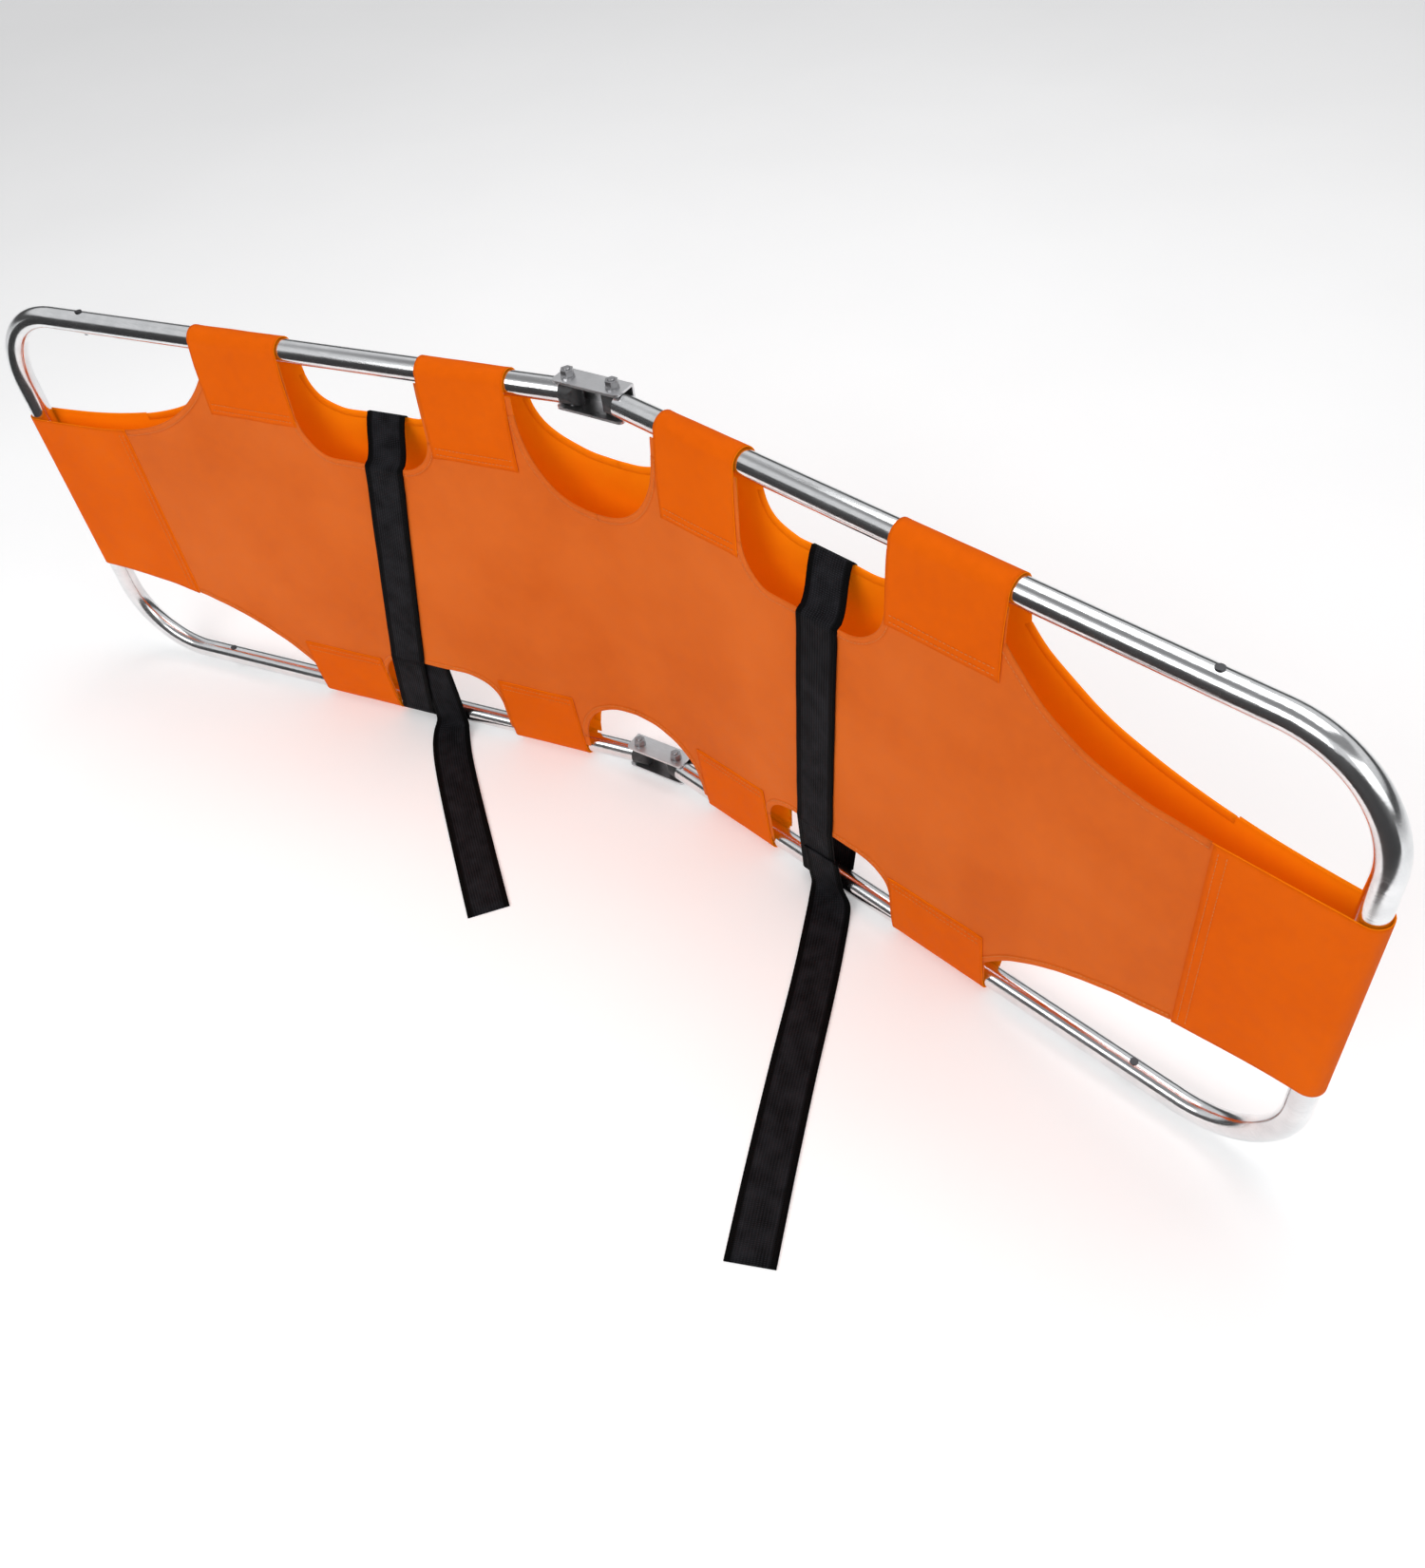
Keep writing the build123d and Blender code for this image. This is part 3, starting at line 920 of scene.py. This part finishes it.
def webbingMaterial():
    m, tree, shader = newMaterial("webbingBlack")
    uv = node(tree, "ShaderNodeUVMap", -1000, 300, uv_map="flat")
    split = node(tree, "ShaderNodeSeparateXYZ", -850, 300)
    tree.links.new(uv.outputs[0], split.inputs[0])
    off = mathNode(tree, "ABSOLUTE", split.outputs[1], None, -700, 300)
    middle = rangeNode(tree, off, 1.0, 0.0, -500, 300, 0.0185, 0.0215)
    ribs = mathNode(tree, "MULTIPLY", split.outputs[0], 2 * math.pi / webbing["rib"], -700, 100)
    ribs = mathNode(tree, "SINE", ribs, None, -550, 100)
    lanes = mathNode(tree, "MULTIPLY", split.outputs[1], 2 * math.pi / webbing["lane"], -700, -100)
    lanes = mathNode(tree, "SINE", lanes, None, -550, -100)
    ribHeight = rangeNode(tree, ribs, 0.0, 1.0, -350, 100, -1, 1)
    laneHeight = rangeNode(tree, lanes, 0.0, 1.0, -350, -100, -1, 1)
    both = mathNode(tree, "MULTIPLY", ribHeight, laneHeight, -200, 0)
    worn = useGroup(tree, "blotch", -700, -350, Size=0.02, Detail=6.0)
    # painted shade: the hollows between ribs and lanes take the darker gap colour
    grey = colourMix(tree, both, webbing["gap"], webbing["thread"], -50, 200)
    rubbed = rangeNode(tree, worn.outputs[0], 0.0, 0.35, -200, -350)
    grey = colourMix(tree, rubbed, grey, webbing["worn"], 100, 200)
    tone = colourMix(tree, middle, webbing["selvedge"], grey, 250, 300)
    tree.links.new(tone, shader.inputs["Base Color"])
    tree.links.new(rangeNode(tree, both, 0.75, 0.5, 250, 0), shader.inputs["Roughness"])
    shader.inputs["Specular IOR Level"].default_value = 0.06
    low = mathNode(tree, "MULTIPLY", ribHeight, 0.4, 0, -200)
    bumpNode(tree, mathNode(tree, "ADD", both, low, 200, -250), shader, 0.0005, 0.8)
    return m


def metalMaterial(name, base, deep, rough, fineness, stretch, metallic=1.0, bump=0.00006):
    m, tree, shader = newMaterial(name)
    grain = useGroup(tree, "grain", -700, 200, Fineness=fineness, Stretch=stretch)
    spots = useGroup(tree, "blotch", -700, 0, Size=0.03, Detail=6.0)
    tone = colourMix(tree, spots.outputs[0], base, deep, -200, 300)
    fine = rangeNode(tree, grain.outputs[0], 0.0, 0.18, -300, 100, 0.35, 0.7)
    tone = colourMix(tree, fine, tone, tuple(c * 0.72 for c in deep), 50, 300)
    tree.links.new(tone, shader.inputs["Base Color"])
    shader.inputs["Metallic"].default_value = metallic
    halfGrain = mathNode(tree, "MULTIPLY", grain.outputs[0], 0.5, -100, 0)
    halfSpots = mathNode(tree, "MULTIPLY", spots.outputs[0], 0.5, -100, -150)
    both = mathNode(tree, "ADD", halfGrain, halfSpots, 50, 0)
    dull = rangeNode(tree, both, rough - 0.07, rough + 0.12, 250, 0)
    tree.links.new(dull, shader.inputs["Roughness"])
    bumpNode(tree, grain.outputs[0], shader, bump, 0.6)
    return m


def plasticMaterial(name, base, rough):
    m, tree, shader = newMaterial(name)
    spots = useGroup(tree, "blotch", -700, 0, Size=0.004, Detail=6.0)
    tone = colourMix(tree, spots.outputs[0], base, tuple(c * 1.7 + 0.004 for c in base), -100, 300)
    tree.links.new(tone, shader.inputs["Base Color"])
    dull = rangeNode(tree, spots.outputs[0], rough - 0.06, rough + 0.1, 150, 0)
    tree.links.new(dull, shader.inputs["Roughness"])
    bumpNode(tree, spots.outputs[0], shader, 0.00012, 0.5)
    return m


def floorMaterial():
    m, tree, shader = newMaterial("floorPale")
    spots = useGroup(tree, "blotch", -700, 0, Size=0.6, Detail=3.0)
    tone = colourMix(tree, spots.outputs[0], (0.93, 0.93, 0.93), (0.90, 0.90, 0.90), -100, 300)
    tree.links.new(tone, shader.inputs["Base Color"])
    shader.inputs["Roughness"].default_value = 0.85
    shader.inputs["Specular IOR Level"].default_value = 0.1
    shader.inputs["Emission Color"].default_value = (1, 1, 1, 1)
    shader.inputs["Emission Strength"].default_value = 0.20
    return m


materials = {
    "front": clothMaterial("clothFront", (0.80, 0.160, 0.017), (0.70, 0.122, 0.008)),
    "wrap": clothMaterial("clothWrap", (0.86, 0.138, 0.0006), (0.78, 0.112, 0.0004),
                          rough=0.62, sheen=0.0, gloss=0.04),
    # brighter and more saturated than the front: partly the inner face's own colour, partly painted
    # light lifting faces that sit in shade
    "inside": clothMaterial("clothInside", (1.0, 0.225, 0.0015), (0.96, 0.175, 0.001),
                            rough=0.7, sheen=0.0, gloss=0.04),
    "webbing": webbingMaterial(),
    "tube": metalMaterial("tubeAluminium", (0.86, 0.865, 0.87), (0.74, 0.75, 0.76), 0.13, 700, 40),
    "bracket": metalMaterial("bracketMetal", (0.72, 0.72, 0.73), (0.60, 0.60, 0.61), 0.30, 900, 8),
    "fastener": metalMaterial("fastenerSteel", (0.48, 0.48, 0.49), (0.33, 0.33, 0.34), 0.30, 1200, 2),
    "rivet": metalMaterial("rivetDark", (0.12, 0.12, 0.125), (0.07, 0.07, 0.075), 0.35, 1200, 2),
    "plug": plasticMaterial("plugPlastic", (0.020, 0.020, 0.021), 0.5),
    "floor": floorMaterial(),
}
paintedGlow = materials["inside"].node_tree.nodes["Principled BSDF"]      # painted light: an emission makes the inside faces glow, standing in for daylight through the cloth
paintedGlow.inputs["Emission Color"].default_value = (1.0, 0.34, 0.001, 1)
paintedGlow.inputs["Emission Strength"].default_value = 0.12
thread, threadTree, threadShader = newMaterial("threadOrange")
threadSpots = useGroup(threadTree, "blotch", -500, 0, Size=0.0012, Detail=3.0)
threadTone = colourMix(threadTree, threadSpots.outputs[0],
                       (0.80, 0.27, 0.055), (0.60, 0.15, 0.02), 0, 300)
threadTree.links.new(threadTone, threadShader.inputs["Base Color"])
threadDull = rangeNode(threadTree, threadSpots.outputs[0], 0.45, 0.7, 200, 0)
threadTree.links.new(threadDull, threadShader.inputs["Roughness"])
materials["thread"] = thread
print("materials made")

def dress(obj, *names):
    obj.data.materials.clear()
    for name in names:
        obj.data.materials.append(materials[name])


nodeFinish = (
    ("_rail", "tube"), ("_end_bow", "tube"), ("_corner_rivets", "rivet"), ("_plug", "plug"),
    ("_bracket", "bracket"), ("_bolt", "fastener"), ("_washers", "fastener"), ("_nuts", "fastener"),
)
for name, piece in frame["nodes"].items():
    finish = next((f for ending, f in nodeFinish if name.endswith(ending)), None)
    if finish:
        for place in piece.material_slots:
            place.material = materials[finish]
print("frame pieces painted")

for word, h in halves.items():
    outer = bedPoint(word, bed["blendReach"], 0, 0)
    middle = bedPoint(word, 0, 0, 0)

    def cross(obj):
        if word == "left":
            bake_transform(obj)
        else:
            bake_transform(obj)

    for layer in ("front", "back"):
        cloth = makeLayer(word, layer)
        dress(cloth, "front", "inside")
        thicken(cloth, bed["cloth"], 1)
        openSeam(cloth)
        cross(cloth)
        hems = makeHem(word, layer)
        dress(hems, "front" if layer == "front" else "inside")
        cross(hems)
    wrapPieces = []
    for level in ("upper", "lower"):
        for place in wraps:
            wrap = makeWrap(word, level, place)
            dress(wrap, "wrap", "inside")
            thicken(wrap, bed["cloth"], 1)
            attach(wrap, h["body"])
            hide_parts(f"{word}_{level}_{place}_sleeve")
            wrapPieces.append((wrap, level, place))
    flap = makeEndFlap(word)
    dress(flap, "wrap", "inside")
    thicken(flap, bed["cloth"], 1)
    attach(flap, h["body"])
    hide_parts(f"{word}_end_sleeve")
    sewing = makeStitching(word)
    for obj in sewing:
        dress(obj, "thread")
    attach(sewing[0], h["body"])
    cross(sewing[1])
    cross(sewing[2])
    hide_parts(f"{word}_bed_front", "bed_centre_front")
    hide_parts(f"{word}_bed_back", "bed_centre_back")
    for wrap, level, place in wrapPieces:
        facts = wraps[place]

    strap = strapLoop(word)
    dress(strap, "webbing")
    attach(strap, h["body"])
    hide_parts(f"{word}_strap")
    tail, tailLength = strapTail(word)
    dress(tail, "webbing")
    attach(tail, h["body"])
    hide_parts(f"{word}_strap_tail")
    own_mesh(tail)
    print(f"{word} half dressed")

bpy.ops.mesh.primitive_plane_add(size=30, location=(0, 0, 0))
floor = bpy.context.object
floor.name = "floor"
floor.data.materials.append(materials["floor"])

card = [                      # gives the rails their dark stripe, and is seen by reflections only
    [(-2.0, -0.42, 0.03), (0.2, -0.20, 0.03), (2.3, -0.55, 0.03)],
    [(-2.2, -1.20, 1.02), (0.2, -1.15, 1.02), (2.9, -1.25, 1.02)],
]
cardFlat = [[(i, j) for i in range(3)] for j in range(2)]
flag = gridObject("darkCard", [[Vector(p) for p in row] for row in card], cardFlat)
flag.data.materials.append(materials["plug"])
for ray in ("camera", "diffuse", "shadow", "transmission"):
    setattr(flag, f"visible_{ray}", False)

softLights = {
    "key": {"at": (-0.5, -2.7, 2.1), "size": (2.8, 2.0), "power": 48},
    "fill": {"at": (2.6, -1.2, 1.7), "size": (2.0, 1.6), "power": 12},
    "top": {"at": (0.3, 0.9, 3.0), "size": (3.0, 2.0), "power": 40},
}
for name, facts in softLights.items():
    light = bpy.data.lights.new(name, "AREA")
    light.shape = "RECTANGLE"
    light.size, light.size_y = facts["size"]
    light.energy = facts["power"]
    lamp = bpy.data.objects.new(name, light)
    scene.collection.objects.link(lamp)
    lamp.location = facts["at"]
    lamp.rotation_euler = (Vector((0, 0.1, 0.25)) - lamp.location).to_track_quat("-Z", "Y").to_euler()

studio = {
    "strength": 0.80,
    "seen": (0.93, 0.93, 0.94),           # what the camera sees beyond the floor
    "bands": [(0.0, 0.5), (0.06, 0.10), (0.30, 0.08), (0.42, 0.85), (0.70, 0.90), (0.80, 0.35)],
}
world = bpy.data.worlds.new("studio")
scene.world = world
world.use_nodes = True
sky = world.node_tree
shade = sky.nodes["Background"]
coord = sky.nodes.new("ShaderNodeTexCoord")
split = sky.nodes.new("ShaderNodeSeparateXYZ")
ramp = sky.nodes.new("ShaderNodeValToRGB")
sky.links.new(coord.outputs["Generated"], split.inputs[0])
sky.links.new(split.outputs[2], ramp.inputs[0])
while len(ramp.color_ramp.elements) < len(studio["bands"]):
    ramp.color_ramp.elements.new(0.5)
for spot, (height, tone) in zip(ramp.color_ramp.elements, studio["bands"]):
    spot.position = height
    spot.color = (tone, tone * 1.005, tone * 1.02, 1)
sky.links.new(ramp.outputs[0], shade.inputs["Color"])
shade.inputs["Strength"].default_value = studio["strength"]
seen = sky.nodes.new("ShaderNodeBackground")
seen.inputs["Color"].default_value = (*studio["seen"], 1)
path = sky.nodes.new("ShaderNodeLightPath")
pick = sky.nodes.new("ShaderNodeMixShader")
sky.links.new(path.outputs["Is Camera Ray"], pick.inputs[0])
sky.links.new(shade.outputs[0], pick.inputs[1])
sky.links.new(seen.outputs[0], pick.inputs[2])
sky.links.new(pick.outputs[0], sky.nodes["World Output"].inputs["Surface"])

camera = {
    "place": (0.895, -0.728, 1.312),
    "aim": (0.2675, 0.0473, 0.2999),
    "roll": -8.42,
    "lens": 30.94,
}

lens = bpy.data.cameras.new("camera")
lens.sensor_width = 36
lens.lens = camera["lens"]
lens.clip_start = 0.02
eye = bpy.data.objects.new("camera", lens)
scene.collection.objects.link(eye)
eye.location = camera["place"]
look = (Vector(camera["aim"]) - eye.location).to_track_quat("-Z", "Y")
eye.rotation_euler = (look @ Quaternion((0, 0, 1), math.radians(camera["roll"]))).to_euler()
scene.camera = eye
scene.view_settings.view_transform = "Standard"
print("stage set")
